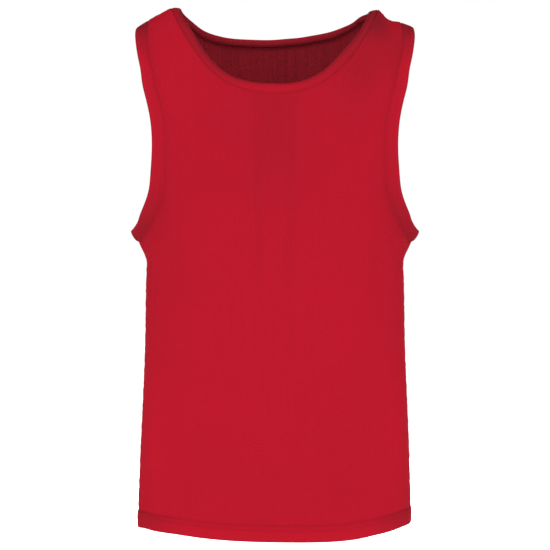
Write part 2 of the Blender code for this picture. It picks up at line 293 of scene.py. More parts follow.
# The slung rows' powers grow from an even bow at the underarm to a flat middle at the tip
LOW_POWER = 2.0
TIP_POWER = 3.0
TIP_ROOT = 1.5
BODY_TOP = -350.0
BODY_ROWS = 72
UNDERARM_ROWS = 13
ARMHOLE_ROWS = 68
SHOULDER_ROWS = 18
PANEL_COLUMNS = 216
END_CROWDING = 0.65
TRACE_POINTS = 1201
print("columns:", PANEL_COLUMNS)

# %% Lengths and row ends


def unit(vectors):
    return vectors / np.linalg.norm(vectors, axis=-1, keepdims=True)


def travelled(points, axis=0):
    """Distance travelled along lines of points."""
    steps = np.linalg.norm(np.diff(points, axis=axis), axis=-1)
    start = np.zeros_like(np.take(steps, [0], axis=axis))
    return np.concatenate([start, np.cumsum(steps, axis=axis)], axis=axis)


def armhole_seam(side):
    """x and height on the form along the armhole seam, and the share of its length."""
    height = UNDERARM * (0.5 + 0.5 * np.cos(np.linspace(0, np.pi, TRACE_POINTS)))
    turned = np.maximum(smooth_curve(ARMHOLE[:, 0], ARMHOLE[:, 1] ** 2, height), 0) ** 0.5
    x = form_value("half_width", height) * np.cos(np.radians(turned)) ** (2 / FULLNESS)
    gone = travelled(on_form(side, x, height))
    return x, height, gone / gone[-1]


def row_plan(side):
    """For each row: end x, end height, middle height, two powers and the lop."""
    middle = ROW_MIDDLE[side]
    zone_top = HEM + HEM_ZONE * HEM_END_DEEPER
    side_heights = np.concatenate([
        np.linspace(HEM, zone_top, HEM_ROWS),
        np.linspace(zone_top, BODY_TOP, BODY_ROWS + 1)[1:-1],
        np.linspace(BODY_TOP, UNDERARM, UNDERARM_ROWS),
    ])
    sag = smooth_step(SAG_START, UNDERARM, side_heights) * (middle["underarm"] - UNDERARM)
    deeper = HEM_ZONE * (HEM_END_DEEPER - 1)
    sag[:HEM_ROWS] -= np.linspace(0, deeper, HEM_ROWS)
    sag[HEM_ROWS:HEM_ROWS + BODY_ROWS] -= np.linspace(deeper, 0, BODY_ROWS + 1)[1:]
    ones = np.ones_like(side_heights)
    below = np.stack([form_value("half_width", side_heights), side_heights,
                      side_heights + sag, LOW_POWER * ones, ones, 0 * ones], axis=-1)

    x, height, share = armhole_seam(side)
    even = np.linspace(0, 1, ARMHOLE_ROWS + 1)[1:]
    part = 0.5 * (even + 0.5 - 0.5 * np.cos(np.pi * even))
    centre = blend(middle["underarm"], middle["tip"], part)
    beside = np.stack([np.interp(part, share, x), np.interp(part, share, height), centre,
                       blend(LOW_POWER, TIP_POWER, part ** 2), blend(1, TIP_ROOT, part ** 3),
                       0 * part], axis=-1)

    power, root = NECK[side]["round"]
    part = np.sin(np.linspace(0, 0.5 * np.pi, SHOULDER_ROWS + 1)[1:])
    end = blend(SHOULDER_TIP, NECK_SEAM_HALF, part)
    centre = blend(middle["tip"], -NECK[side]["seam_drop"], part)
    above = np.stack([end, 0 * part, centre, blend(TIP_POWER, power, part),
                      blend(TIP_ROOT, root, part), NECK[side]["lop"] * part], axis=-1)
    return np.concatenate([below, beside, above]), len(below) - 1, len(below) + len(beside) - 1


plan, underarm_row, tip_row = row_plan("front")
print("rows:", len(plan), "the underarm is row", underarm_row, "and the shoulder tip", tip_row)

# %% Slung rows


def crowded(count):
    """Shares with short steps at both ends: t - k sin(2 pi t) / (2 pi)."""
    even = np.linspace(0, 1, count + 1)
    return even - END_CROWDING * np.sin(2 * np.pi * even) / (2 * np.pi)


def sling(side, rows, wanted):
    """x and height of slung rows: height = end + (middle - end) * (1 - |share|^power)^root."""
    share = np.sin(np.linspace(-0.5 * np.pi, 0.5 * np.pi, TRACE_POINTS))[None]
    end_x, end_height, middle, power, root, lop = (column[:, None] for column in rows.T)
    hang = np.maximum(1 - np.abs(share) ** (power - lop * share), 0) ** root
    x = end_x * share
    height = blend(end_height, middle, hang)
    gone = travelled(on_form(side, x, height), axis=1)
    gone /= gone[:, -1:]
    return (np.stack([np.interp(wanted, g, row) for g, row in zip(gone, x)]),
            np.stack([np.interp(wanted, g, row) for g, row in zip(gone, height)]))


def trimmed(side, points, weight):
    """Rows rise near the neck by the trim at their x."""
    points[..., 2] += weight * table_curve(TRIM[side], points[..., 0])
    return points


print("shortest column step, share:", crowded(PANEL_COLUMNS)[1].round(5))

# %% [markdown]
# ## Folds and seams
# Light knit that is filled out has hardly a crease, but it dips between the breast points,
# drops in shallow folds from the underarms and sinks where a strap bends. Each is a long
# Gaussian. The cloth is pulled in at a seam and swells beside it, and the hem is two layers
# thick with a trough along each row of stitches.

# %% Folds
# Columns: x, height, size across, size along, lean, depth
FOLDS = {
    "front": [
        (0, -170, 30, 62, 0, 3.2), (-24, -285, 9, 62, -4, 1.4), (22, -275, 9, 66, 5, 1.4),
        (-134, -335, 10, 55, -6, 1.8), (132, -330, 10, 50, 7, 1.8), (112, -72, 30, 26, 30, 3.6),
        (152, 0, 13, 38, 20, 7.4), (-92, -560, 16, 90, 3, -1.6), (104, -540, 15, 80, -4, -1.6),
        (-150, -300, 5, 24, -38, 0.8), (151, -296, 5, 22, 40, 0.8), (-58, -440, 7, 70, 2, 0.5),
        (71, -468, 8, 84, -2, 0.5), (-118, -150, 6, 40, 8, 0.6), (-156, -385, 2.4, 44, 2, 1),
        (-161, -390, 2.2, 40, 2, -0.5),
    ],
    "back": [
        (0, -420, 46, 110, 0, 3), (-58, -330, 12, 90, 5, 1.8), (64, -345, 13, 96, -4, 2),
        (-120, -330, 11, 60, 14, 2), (118, -320, 11, 55, -16, 2), (152, 0, 13, 38, 20, 7.4),
        (-84, -570, 17, 90, -3, -2), (92, -555, 15, 85, 4, -2), (-22, -300, 7, 80, 3, 0.7),
        (27, -470, 8, 90, -3, 0.8), (-149, -302, 5, 26, -36, 0.8), (150, -298, 5, 24, 34, 0.8),
        (-40, -490, 9, 110, 4, 1.1), (49, -505, 10, 105, -5, 1.2), (-104, -440, 8, 80, 9, 1.2),
        (101, -430, 8, 85, -8, 1.1), (-146, -420, 7, 95, 3, 1), (147, -440, 7, 90, -4, 1),
    ],
}
print("folds:", {side: len(table) for side, table in FOLDS.items()})

# %% Sums of folds


def gaussians(table, x, height):
    """Sum of leaning Gaussians: size * exp(-(across / a)^2 - (lengthwise / b)^2)."""
    total = np.zeros(np.shape(x))
    for centre_x, centre_height, wide, long, lean, size in table:
        angle = np.radians(lean)
        right = x - centre_x
        upward = height - centre_height
        across = right * np.cos(angle) - upward * np.sin(angle)
        lengthwise = right * np.sin(angle) + upward * np.cos(angle)
        total += size * np.exp(-(across / wide) ** 2 - (lengthwise / long) ** 2)
    return total


print("hollow at the breast, mm:", gaussians(FOLDS["front"], 0.0, FOLDS["front"][0][1]).round(1))

# %% Relief along seams and hem
SEAM_DIP = 0.25
SEAM_DIP_WIDTH = 3.2
PUCKER = 0.16
PUCKER_WIDTH = 7.0
PUCKER_LENGTHS = (9.3, 14.7, 23.1)
PUCKER_PHASE = 1.7
PUCKER_END = (20.0, 40.0)
HEM_RAISE = 0.7
HEM_DEPTH = 21.0
HEM_EDGE = 2.0
HEM_INSIDE = 0.6
HEM_ROUND = (0.9, 3.5)
NEEDLE_LINES = (14.0, 20.0)
NEEDLE_DIP = (0.4, 1.2)
NEEDLE_WIDTH = 1.9


def seam_relief(distance, way):
    """Dip at the seam, -dip * exp(-(distance / width)^2), and beside it puckers: a sum of
    three waves along the seam, fading with the distance from it."""
    waves = sum(np.sin(2 * np.pi * way / long + PUCKER_PHASE * i)
                for i, long in enumerate(PUCKER_LENGTHS))
    beside = distance / PUCKER_WIDTH
    return PUCKER * waves * beside * np.exp(1 - beside) \
        - SEAM_DIP * np.exp(-(distance / SEAM_DIP_WIDTH) ** 2)


def hem_relief(above_hem):
    """The doubled hem stands proud, with a trough along each row of stitches."""
    drop, reach = HEM_ROUND
    relief = HEM_RAISE * (1 - smooth_step(HEM_DEPTH - HEM_EDGE, HEM_DEPTH + HEM_EDGE, above_hem))
    relief = relief - drop * np.exp(-(above_hem / reach) ** 2)
    for line, dip in zip(NEEDLE_LINES, NEEDLE_DIP):
        relief = relief - dip * np.exp(-((above_hem - line) / NEEDLE_WIDTH) ** 2)
    return relief


print("hem stands out by, mm:", hem_relief(np.array([5.0, 14.0, 20.0, 26.0])).round(2))

# %% [markdown]
# ## A panel of knit
# The grid's points are moved along their outward directions by the folds and the relief, and a
# second grid behind them is the inside. Each point also keeps its place in the flat cut: how
# far from the middle along its level section, and how far up from the hem. The holes are drawn
# in those lengths, so they stay in straight columns.

# %% Panel points
CUT_HEIGHTS = 90
CUT_SHARES = 361
LAST_CELL = 1.001
NECK_BLEND_ROWS = 12.0


def outward_directions(points, facing):
    """Cross products of the differences along rows and columns, turned to face out."""
    normal = np.cross(np.gradient(points, axis=1), np.gradient(points, axis=0))
    return unit(normal * facing * np.sign(np.mean(normal[..., 1])))


def level_ends(normal, rows):
    """On the side and shoulder seams the wall's end lies square to the front-back way."""
    for end in (0, -1):
        normal[rows, end, 1] = 0
        normal[rows, end] = unit(normal[rows, end])
    return normal


def place_in_cut(side, x, height):
    """u = length of the level section from its middle, v = length up the middle line."""
    heights = np.linspace(FORM[0, 0], FORM[-1, 0], CUT_HEIGHTS)
    shares = np.linspace(-1, 1, CUT_SHARES)
    widths = form_value("half_width", heights)
    wide, high = np.broadcast_arrays(widths[:, None] * shares, heights[:, None])
    gone = travelled(on_form(side, wide, high), axis=1)
    gone -= gone[:, CUT_SHARES // 2][:, None]
    row = np.clip((height - heights[0]) / (heights[1] - heights[0]), 0, CUT_HEIGHTS - LAST_CELL)
    column = (np.clip(x / form_value("half_width", height), -1, 1) + 1) * 0.5
    column = np.clip(column * (CUT_SHARES - 1), 0, CUT_SHARES - LAST_CELL)
    r, c = row.astype(int), column.astype(int)
    fr, fc = row - r, column - c
    u = (gone[r, c] * (1 - fc) + gone[r, c + 1] * fc) * (1 - fr) \
        + (gone[r + 1, c] * (1 - fc) + gone[r + 1, c + 1] * fc) * fr
    middle = travelled(on_form(side, 0 * heights, heights))
    v = np.interp(height, heights, middle)
    return np.stack([u, v], axis=-1)


def panel_points(side):
    """Outer and inner points of a panel, its outward directions and its places in the cut."""
    rows, underarm, tip = row_plan(side)
    x, height = sling(side, rows, crowded(PANEL_COLUMNS))
    index = np.arange(len(rows))
    seam_rows = (index <= underarm) | (index >= tip)
    near_neck = smooth_step(tip - NECK_BLEND_ROWS, len(rows) - 1, index)[:, None]
    surface = trimmed(side, on_form(side, x, height), SEAM_FOLLOWS[side] * near_neck)
    normal = level_ends(outward_directions(surface, FACING[side]), seam_rows)
    surface = surface - gaussians(FOLDS[side], x, height)[..., None] * normal
    normal = level_ends(outward_directions(surface, FACING[side]), seam_rows)

    gone = travelled(surface, axis=1)
    from_end = np.minimum(gone, gone[:, -1:] - gone)
    climbed = travelled(surface, axis=0)
    from_neck = climbed[-1:] - climbed
    above_hem = climbed * HEM_ZONE / climbed[HEM_ROWS - 1]
    beyond = np.maximum(climbed[underarm] - climbed, climbed - climbed[tip])
    at_neck = 1 - smooth_step(*PUCKER_END, from_neck)
    relief = seam_relief(from_end, climbed) + seam_relief(from_neck, gone) * at_neck
    thick = PANEL_WALL + HEM_INSIDE * (1 - smooth_step(HEM_DEPTH, HEM_DEPTH + 1, above_hem))
    return {
        "side": side,
        "seam": surface,
        "normal": normal,
        "outer": surface + normal * (relief + hem_relief(above_hem))[..., None],
        "inner": surface - normal * thick[..., None],
        "cut": place_in_cut(side, x, height),
        "seam_distance": np.minimum(from_end, from_neck),
        "armhole_distance": np.hypot(from_end, np.maximum(beyond, 0)),
        "above_hem": above_hem,
        "place": np.stack([x, height], axis=-1),
        "underarm": underarm,
        "tip": tip,
    }


front = panel_points("front")
back = panel_points("back")
print("points on the front:", front["outer"].shape, "half chest, mm:",
      round(float(travelled(front["outer"][underarm_row])[-1]), 1))

# %% [markdown]
# ## From points to a mesh
# A wall is two grids and a rim that closes them. Face lists are worked out as index arrays, and
# the mesh takes them whole. The rim at the hem is drawn out into a half circle, because there
# the cloth is folded and not cut.

# %% Mesh makers
RIM_STEPS = 5
SHARP_ANGLE = 60.0


def volume_sign(points, faces):
    """Sign of six times the volume: positive where the faces point out."""
    a, b, c, d = (points[faces[:, i]] for i in range(4))
    return np.sign(np.einsum("ij,ij->", a, np.cross(b, c) + np.cross(c, d)))


def new_piece(name, points, faces, layers=None, uv=None):
    """A closed smooth-shaded mesh object in metres, with named point layers and a UV map."""
    if volume_sign(points, faces) < 0:
        faces = faces[:, ::-1]
    mesh = bpy.data.meshes.new(name)
    mesh.from_pydata((points * MM).tolist(), [], faces.tolist())
    for layer, values in (layers or {}).items():
        made = mesh.attributes.new(layer, "FLOAT", "POINT")
        made.data.foreach_set("value", np.ascontiguousarray(values, dtype=np.float32))
    if uv is not None:
        made = mesh.uv_layers.new(name="cut")
        made.data.foreach_set("uv", (uv[faces.ravel()] * MM).astype(np.float32).ravel())
    mesh.shade_smooth()
    mesh.set_sharp_from_angle(angle=math.radians(SHARP_ANGLE))
    return new_object(name, mesh)


def quads(*corners):
    """Faces from four equal grids of point numbers."""
    return np.stack(corners, axis=-1).reshape(-1, 4)


def wall_faces(rows, columns):
    """Outer grid, inner grid, and a rim of steps between them round the whole border."""
    index = np.arange(rows * columns).reshape(rows, columns)
    outer = quads(index[:-1, :-1], index[:-1, 1:], index[1:, 1:], index[1:, :-1])
    inner = outer[:, ::-1] + rows * columns
    border = np.concatenate([index[0, :-1], index[:-1, -1], index[-1, :0:-1], index[:0:-1, 0]])
    extra = 2 * rows * columns + np.arange((RIM_STEPS - 1) * len(border))
    rings = np.concatenate([border[None], extra.reshape(RIM_STEPS - 1, -1),
                            border[None] + rows * columns])
    after = np.roll(rings, -1, axis=1)
    rim = quads(rings[:-1], rings[1:], after[1:], after[:-1])
    return np.concatenate([outer, inner, rim]), border


def knit_piece(name, panel):
    """The wall of one panel; its rim swells at the hem only, by half the wall."""
    rows, columns = panel["outer"].shape[:2]
    outer, inner = (panel[key].reshape(-1, 3) for key in ("outer", "inner"))
    faces, border = wall_faces(rows, columns)
    steps = np.linspace(0, 1, RIM_STEPS + 1)[1:-1][:, None, None]
    down = unit(panel["outer"][0] - panel["outer"][1])
    thick = np.linalg.norm(panel["outer"][0] - panel["inner"][0], axis=-1, keepdims=True)
    push = np.zeros_like(outer)
    push[:columns] = down * 0.5 * thick
    rim = outer[border] * (1 - steps) + inner[border] * steps \
        + push[border] * np.sin(np.pi * steps)
    rim = rim.reshape(-1, 3)
    points = np.concatenate([outer, inner, rim])
    repeat = np.concatenate([np.arange(len(outer)), np.arange(len(outer)),
                             np.tile(border, RIM_STEPS - 1)])
    layers = {
        "seam_distance": panel["seam_distance"].ravel()[repeat] * MM,
        "above_hem": panel["above_hem"].ravel()[repeat] * MM,
        # The painted shade and light ride on the mesh as a layer
        "painted_shading": painted_shading(panel).ravel()[repeat],
        # inside picks the inner faces' painted shade, half of it on the rim
        "inside": np.repeat((0, 1, 0.5), (len(outer), len(inner), len(rim))),
    }
    return new_piece(name, points, faces, layers, panel["cut"].reshape(-1, 2)[repeat])


# %% [markdown]
# ## Painted shade and light
# Where the cloth hollows between the breast points or pulls at the underarm, at the hem's ends
# and beside the armholes, painted shade deepens the red, and low on the front's sides painted
# light lifts it. It could be left to the light alone, but a few wide soft patches, kept as a
# layer on the mesh, carry it to every view.

# %% Soft shade
# Columns: x, height, size across, size along, lean, painted shade (below 0, painted light)
PAINTED_SHADES = {
    "front": [
        (0, -150, 33, 90, 0, 0.52), (0, -165, 150, 95, 0, 0.16), (-21.5, -268, 5, 108, -1, 0.33),
        (19, -265, 6, 108, 1, 0.33), (-133, -335, 7, 60, -4, 0.16), (128, -335, 7, 48, 4, 0.16),
        (116, -78, 36, 48, 10, 0.95), (152, -50, 18, 34, 0, 0.5), (129, -18, 20, 26, 20, 2.6),
        (-165, -270, 16, 34, 10, 0.9), (165, -270, 16, 34, -10, 0.9),
        (-162, -548, 24, 88, 0, -0.6), (162, -548, 24, 88, 0, -0.6),
    ],
    "back": [
        (0, -240, 60, 120, 0, 0.12), (-60, -380, 9, 90, 3, 0.25), (66, -400, 9, 90, -3, 0.25),
    ],
}
# Painted shade on the doubled hem towards its ends, and on the knit beside the armhole
HEM_END_SHADE = 1.2
HEM_END = (105.0, 172.0)
HEM_SHADE_EDGE = (19.5, 21.5)
ARMHOLE_SHADE = 0.5
ARMHOLE_SHADE_WIDTH = 9.0


def painted_shading(panel):
    """Painted shading: the patches, whose negative ones paint light, the ends of the doubled hem,
    and shade * exp(-(distance / width)^2) beside the armhole."""
    x, height = panel["place"][..., 0], panel["place"][..., 1]
    hem = 1 - smooth_step(*HEM_SHADE_EDGE, panel["above_hem"])
    ends = HEM_END_SHADE * hem * smooth_step(*HEM_END, np.abs(x))
    beside = ARMHOLE_SHADE * np.exp(-(panel["armhole_distance"] / ARMHOLE_SHADE_WIDTH) ** 2)
    return gaussians(PAINTED_SHADES[panel["side"]], x, height) + ends + beside


front_knit = knit_piece("front_knit", front)
back_knit = knit_piece("back_knit", back)
print("faces:", len(front_knit.data.polygons), len(back_knit.data.polygons))

# %% [markdown]
# ## Side seams seen from inside
# The raw edges of a side seam are overlocked together and lie against the back. They show at
# the hem and through the neck, so a strip six millimetres wide is laid on the back's inner
# face, from the turned-up hem to the underarm.

# %% Side allowances
ALLOWANCE_STEPS = 9
ALLOWANCE_FROM = 22
ALLOWANCE_LIFT = (0.1, 1.5)


def side_allowance(name, panel, columns):
    """Its faces = inner face of the panel - outward direction * lift, for two lifts."""
    rows = slice(ALLOWANCE_FROM, panel["underarm"] + 1)
    kept = ("normal", "inner", "cut", "seam_distance", "armhole_distance", "above_hem", "place")
    strip = {key: panel[key][rows, columns] for key in kept}
    low, high = ALLOWANCE_LIFT
    strip["outer"] = strip["inner"] - strip["normal"] * low
    strip["inner"] = strip["inner"] - strip["normal"] * high
    strip["side"] = panel["side"]
    return knit_piece(name, strip)


left_allowance = side_allowance("side_allowance_left", back, slice(0, ALLOWANCE_STEPS))
right_allowance = side_allowance("side_allowance_right", back, slice(-ALLOWANCE_STEPS, None))
print("allowance width, mm:", back["seam_distance"][BODY_ROWS, ALLOWANCE_STEPS - 1].round(1))

# %% [markdown]
# ## Rib bands
# Each band is a strip of rib folded in half, with both cut edges in the seam and the fold at
# the opening. It could be a bevelled curve, but a band turns with the body, so its section is
# carried round the seam on directions taken from the panels: it leaves the seam square to it,
# fills out slightly, and ends in a round fold that leans in.

# %% Tables of the bands
# Where the armhole's edge stands off its seam. Columns: share of the way up, out, deep, up
ARMHOLE_BAND = np.array([
    (0, 12, 0, 15.3), (0.025, 13.4, -1.2, 14.8), (0.05, 14, -2.4, 13.2), (0.09, 13.6, -4, 12),
    (0.14, 16, -5.6, 10.4), (0.24, 18.8, -7.6, 7.5), (0.35, 19.6, -8.5, 3.5),
    (0.44, 17.6, -8.6, 2), (0.5, 18, -8.6, 1.5), (0.58, 19.2, -8, 2), (0.66, 18, -7.5, 2.5),
    (0.8, 16, -6, 3), (0.88, 17.2, -5, 0.5), (0.94, 17.6, -3, -5), (1, 17.6, 0, -8.2),
])
# The right shoulder's outer corner sits higher than the left one's
CORNER_RISE = {-1.0: -2.4, 1.0: 2.2}
CORNER_FROM = 0.88
# How far the fold leans in, the two faces swell and the band is painted in shade. Columns:
# share of the way round, lean, swell out, swell in, painted shade
NECK_ROLL = np.array([
    (0, 1, 0.8, 0.6, 1.5), (0.03, 2.4, 0.9, 0.8, 1.7), (0.08, 3.6, 0.8, 0.8, 1.5),
    (0.13, 4, 0.8, 0.7, 1.5), (0.18, 3.4, 0.9, 0.6, 1.2), (0.23, 2.6, 1.2, 0.6, 0.7),
    (0.28, 2.4, 1.4, 0.6, 0.4), (0.34, 2, 1.4, 0.6, 0.8), (0.4, 1.8, 1.2, 0.6, 1.2),
    (0.45, 1.6, 1, 0.8, 1.6), (0.49, 1.6, 1, 0.9, 1.9), (0.52, 1.6, 0.9, 1, 2.1),
    (0.55, 1.4, 0.8, 1, 2.4), (0.6, 1.4, 1, 2, 0.8), (0.66, 1.2, 1, 2.4, 0),
    (0.78, 1.2, 1, 2.6, 0.1), (0.92, 1.4, 1, 2.2, 0.3), (1, 1, 0.8, 0.6, 1.5),
])
ARMHOLE_ROLL = np.array([
    (0, 1.6, 1.2, 0.6, 1.35), (0.06, 1.6, 1.2, 0.6, 1.2), (0.11, 1.8, 1.2, 0.6, 0.75),
    (0.17, 2, 1.2, 0.6, 0.3), (0.25, 2, 1.2, 0.6, 0.22), (0.37, 2, 1.2, 0.6, 0.1),
    (0.42, 2, 0.8, 0.6, 0.9), (0.46, 1.8, 0, 0.6, 1.8), (0.5, 1.8, -0.6, 0.6, 1.8),
    (0.55, 2, 0.4, 0.6, 0.9), (0.62, 2, 1.2, 0.6, 0.1), (0.85, 2, 1.2, 0.6, 0.2),
    (0.95, 1.8, 1.2, 0.6, 1.1), (1, 1.6, 1.2, 0.6, 1.35),
])
NECK_FOLD_REACH = 1.8
TUCK = 1.2
TUCK_SINK = 0.8
TUCKED_HALF = 0.25
THICK_FROM = 0.08
ARCH_FROM = 0.06
SWELL_BY = 0.28
FOLD_START = 0.78
# The two faces' colours meet over the fold, the outer face darkening towards it in painted shade
# and the inner face lightening towards it in painted light: share of the way where each starts,
# and how far
OUTER_TURN = (0.8, 0.5)
INNER_TURN = (0.6, 0.45)
SECTION_STEPS = 21
print("stations given on an armhole band:", len(ARMHOLE_BAND))

# %% Band sections


def band_section():
    """Shares across the band and half thicknesses: thin in the seam, an arc at the fold."""
    share = 0.5 - 0.5 * np.cos(np.linspace(0, np.pi, SECTION_STEPS))
    half = blend(TUCKED_HALF, 0.5 * BAND_WALL, smooth_step(THICK_FROM, SWELL_BY, share))
    past = np.clip((share - FOLD_START) / (1 - FOLD_START), 0, 1)
    rounding = np.sqrt(1 - past ** 2)
    return share, half * rounding, rounding


def band_piece(name, seam, normal, edge, roll, fold_reach):
    """Loops round the opening. Middle = start + (end - start) s - normal * lean * s^3, and
    each face lies its half thickness plus swell * 4 s (1 - s) away from it, but flat in the seam."""
    outward = edge - seam
    outward = unit(outward - normal * np.sum(outward * normal, axis=-1, keepdims=True))
    start = seam - outward * TUCK - normal * TUCK_SINK * PANEL_WALL
    end = edge - normal * 0.5 * PANEL_WALL
    gone = travelled(np.concatenate([seam, seam[:1]]))
    way = gone[:-1] / gone[-1]
    lean, swell_out, swell_in, shade = (
        np.interp(way, roll[:, 0], roll[:, i])[:, None, None] for i in (1, 2, 3, 4))
    share, half, rounding = band_section()
    s = share[None, :, None]
    arch = 4 * s * (1 - s) * (rounding * smooth_step(ARCH_FROM, SWELL_BY, share))[None, :, None]
    up = normal[:, None]
    middle = start[:, None] * (1 - s) + end[:, None] * s - up * lean * s ** 3
    half = half[None, :, None]
    outer = middle + up * (half + swell_out * arch)
    inner = middle - up * (half + swell_in * arch)
    loops = np.concatenate([outer, inner[:, -2::-1]], axis=1)
    stations, around = loops.shape[:2]
    index = np.arange(stations * around).reshape(stations, around)
    after = np.roll(index, -1, axis=0)
    faces = quads(index, np.roll(index, -1, axis=1), np.roll(after, -1, axis=1), after)
    width = np.linalg.norm(end - start, axis=-1).mean()
    across = np.concatenate([share, share[-2::-1]]) * width
    cut = np.stack(np.broadcast_arrays(gone[:-1, None], across[None]), axis=-1).reshape(-1, 2)
    # Near the fold the outer face takes painted shade and the inner face painted light
    outer_turn, inner_turn = (
        most * smooth_step(first, 1, share) for first, most in (OUTER_TURN, INNER_TURN))
    inside = np.concatenate([outer_turn, 1 - inner_turn[-2::-1]])
    layers = {
        "seam_distance": np.tile(np.abs(across - TUCK), stations) * MM,
        "inside": np.tile(inside, stations),
        # The band's painted shade, from its roll table, rides on the mesh as a layer
        "painted_shading": np.repeat(shade.ravel(), around),
        "from_fold": np.tile((width - across) / fold_reach, stations) * MM,
    }
    print(name, "goes round, mm:", round(float(gone[-1])), "and is wide, mm:", round(width, 1))
    return new_piece(name, loops.reshape(-1, 3), faces, layers, cut)


print("points round a section:", 2 * SECTION_STEPS - 1)

# %% Seams and edges of the bands


def round_the_opening(front_line, back_line):
    """The front's line, then the back's in return order, sharing a point at each seam."""
    first = 0.5 * (front_line[0] + back_line[0])
    last = 0.5 * (front_line[-1] + back_line[-1])
    return np.concatenate([[first], front_line[1:-1], [last], back_line[-2:0:-1]])


def armhole_line(panel, column, outward):
    """Seam, directions and edge of one armhole on one panel, by the band's table."""
    rows = slice(panel["underarm"], panel["tip"] + 1)
    seam, normal = panel["seam"][rows, column], panel["normal"][rows, column]
    gone = travelled(seam)
    gone /= gone[-1]
    out, deep, up = (table_curve(ARMHOLE_BAND, gone, i) for i in (1, 2, 3))
    up = up + CORNER_RISE[outward] * smooth_step(CORNER_FROM, 1, gone)
    deep = FACING[panel["side"]] * deep
    return seam, normal, seam + np.stack([outward * out, deep, up], axis=-1)


def armhole_rib(name, column, outward):
    lines = zip(armhole_line(front, column, outward), armhole_line(back, column, outward))
    seam, normal, edge = (round_the_opening(a, b) for a, b in lines)
    return band_piece(name, seam, unit(normal), edge, ARMHOLE_ROLL, 1)


def neck_edge(side):
    """The neck opening's edge, rolled in a little over the shoulders."""
    power, root = NECK[side]["round"]
    row = np.array([[NECK_EDGE_HALF, 0, -NECK[side]["edge_drop"], power, root,
                     NECK[side]["lop"]]])
    x, height = (values[0] for values in sling(side, row, crowded(PANEL_COLUMNS)))
    points = trimmed(side, on_form(side, x, height), 1)
    sink = np.where(x < 0, NECK_SINK[0], NECK_SINK[1])
    points[:, 2] -= sink * smooth_step(SINK_FROM, 1, np.abs(x) / NECK_EDGE_HALF)
    return points


def neck_rib(name):
    seam = round_the_opening(front["seam"][-1], back["seam"][-1])
    normal = unit(round_the_opening(front["normal"][-1], back["normal"][-1]))
    edge = round_the_opening(neck_edge("front"), neck_edge("back"))
    return band_piece(name, seam, normal, edge, NECK_ROLL, NECK_FOLD_REACH)


neck_band = neck_rib("neck_rib")
left_band = armhole_rib("armhole_rib_left", 0, -1.0)
right_band = armhole_rib("armhole_rib_right", -1, 1.0)

# %% [markdown]
# ## Stitches
# A twin-needle machine leaves two rows of short straight stitches outside the hem. They could
# be drawn in the material, but thread stands on the cloth and catches light, so every stitch is
# a small capsule of eighteen faces, pressed at both ends into the trough that holds it.

# %% Stitch rows
STITCH_PITCH = 3.1
STITCH_LENGTH = 2.4
THREAD = 0.6
STITCH_RISE = np.array([-0.4, 0.3, 0.42, 0.3, -0.4])
STITCH_FULL = np.array([0.45, 0.95, 1.0, 0.95, 0.45])
STITCH_SIDES = 6


def along_line(line, values, distance):
    """Values kept at a line's points, read at given distances along it."""
    gone = travelled(line)
    return np.stack([np.interp(distance, gone, values[:, i]) for i in range(3)], axis=-1)


def stitch_row(line, normal):
    """Capsules along a line: centre(t) + radius(t) * (cos a * normal + sin a * sideways)."""
    length = travelled(line)[-1]
    starts = np.arange(STITCH_PITCH, length - STITCH_PITCH, STITCH_PITCH)
    t = np.linspace(0, STITCH_LENGTH, len(STITCH_RISE))
    place = (starts[:, None] + t[None]).ravel()
    shape = (len(starts), len(t), 3)
    centre = along_line(line, line, place).reshape(shape)
    up = unit(along_line(line, normal, place)).reshape(shape)
    ahead = unit(centre[:, -1:] - centre[:, :1])
    sideways = np.cross(up, ahead)
    angle = np.linspace(0, 2 * np.pi, STITCH_SIDES, endpoint=False)[None, None, :, None]
    radius = (0.5 * THREAD * STITCH_FULL)[None, :, None, None]
    ring = np.cos(angle) * up[:, :, None] + np.sin(angle) * sideways[:, :, None]
    centre = centre + up * STITCH_RISE[None, :, None] * THREAD
    return (centre[:, :, None] + radius * ring).reshape(-1, 3), len(starts)


def stitch_faces(count):
    """Quads between neighbouring rings of every capsule, and two quads over each end."""
    rings = len(STITCH_RISE)
    index = np.arange(count * rings * STITCH_SIDES).reshape(count, rings, STITCH_SIDES)
    after = np.roll(index, -1, axis=2)
    tube = quads(index[:, :-1], after[:, :-1], after[:, 1:], index[:, 1:])
    caps = np.concatenate([index[:, 0][:, [0, 5, 2, 1]], index[:, 0][:, [5, 4, 3, 2]],
                           index[:, -1][:, [0, 1, 2, 5]], index[:, -1][:, [5, 2, 3, 4]]])
    return np.concatenate([tube, caps])


def hem_stitches(name, panel):
    points, total = [], 0
    for line in NEEDLE_LINES:
        row = int(round(line / HEM_ZONE * (HEM_ROWS - 1)))
        made, count = stitch_row(panel["outer"][row], panel["normal"][row])
        points.append(made)
        total += count
    print(name, "stitches:", total)
    return new_piece(name, np.concatenate(points), stitch_faces(total))


front_stitches = hem_stitches("front_hem_stitches", front)
back_stitches = hem_stitches("back_hem_stitches", back)

# %% [markdown]
# ## Shader maths
# A material is a graph, and a graph built node by node is hard to read. The small class below
# wraps a socket, so that 1 - mask * 0.4 adds its own Math nodes, and one method adds any other
# node.

# %% Sockets as numbers


def operator(operation):
    """A method that adds one Math node."""
    return lambda self, *others: self.maths(operation, *others)


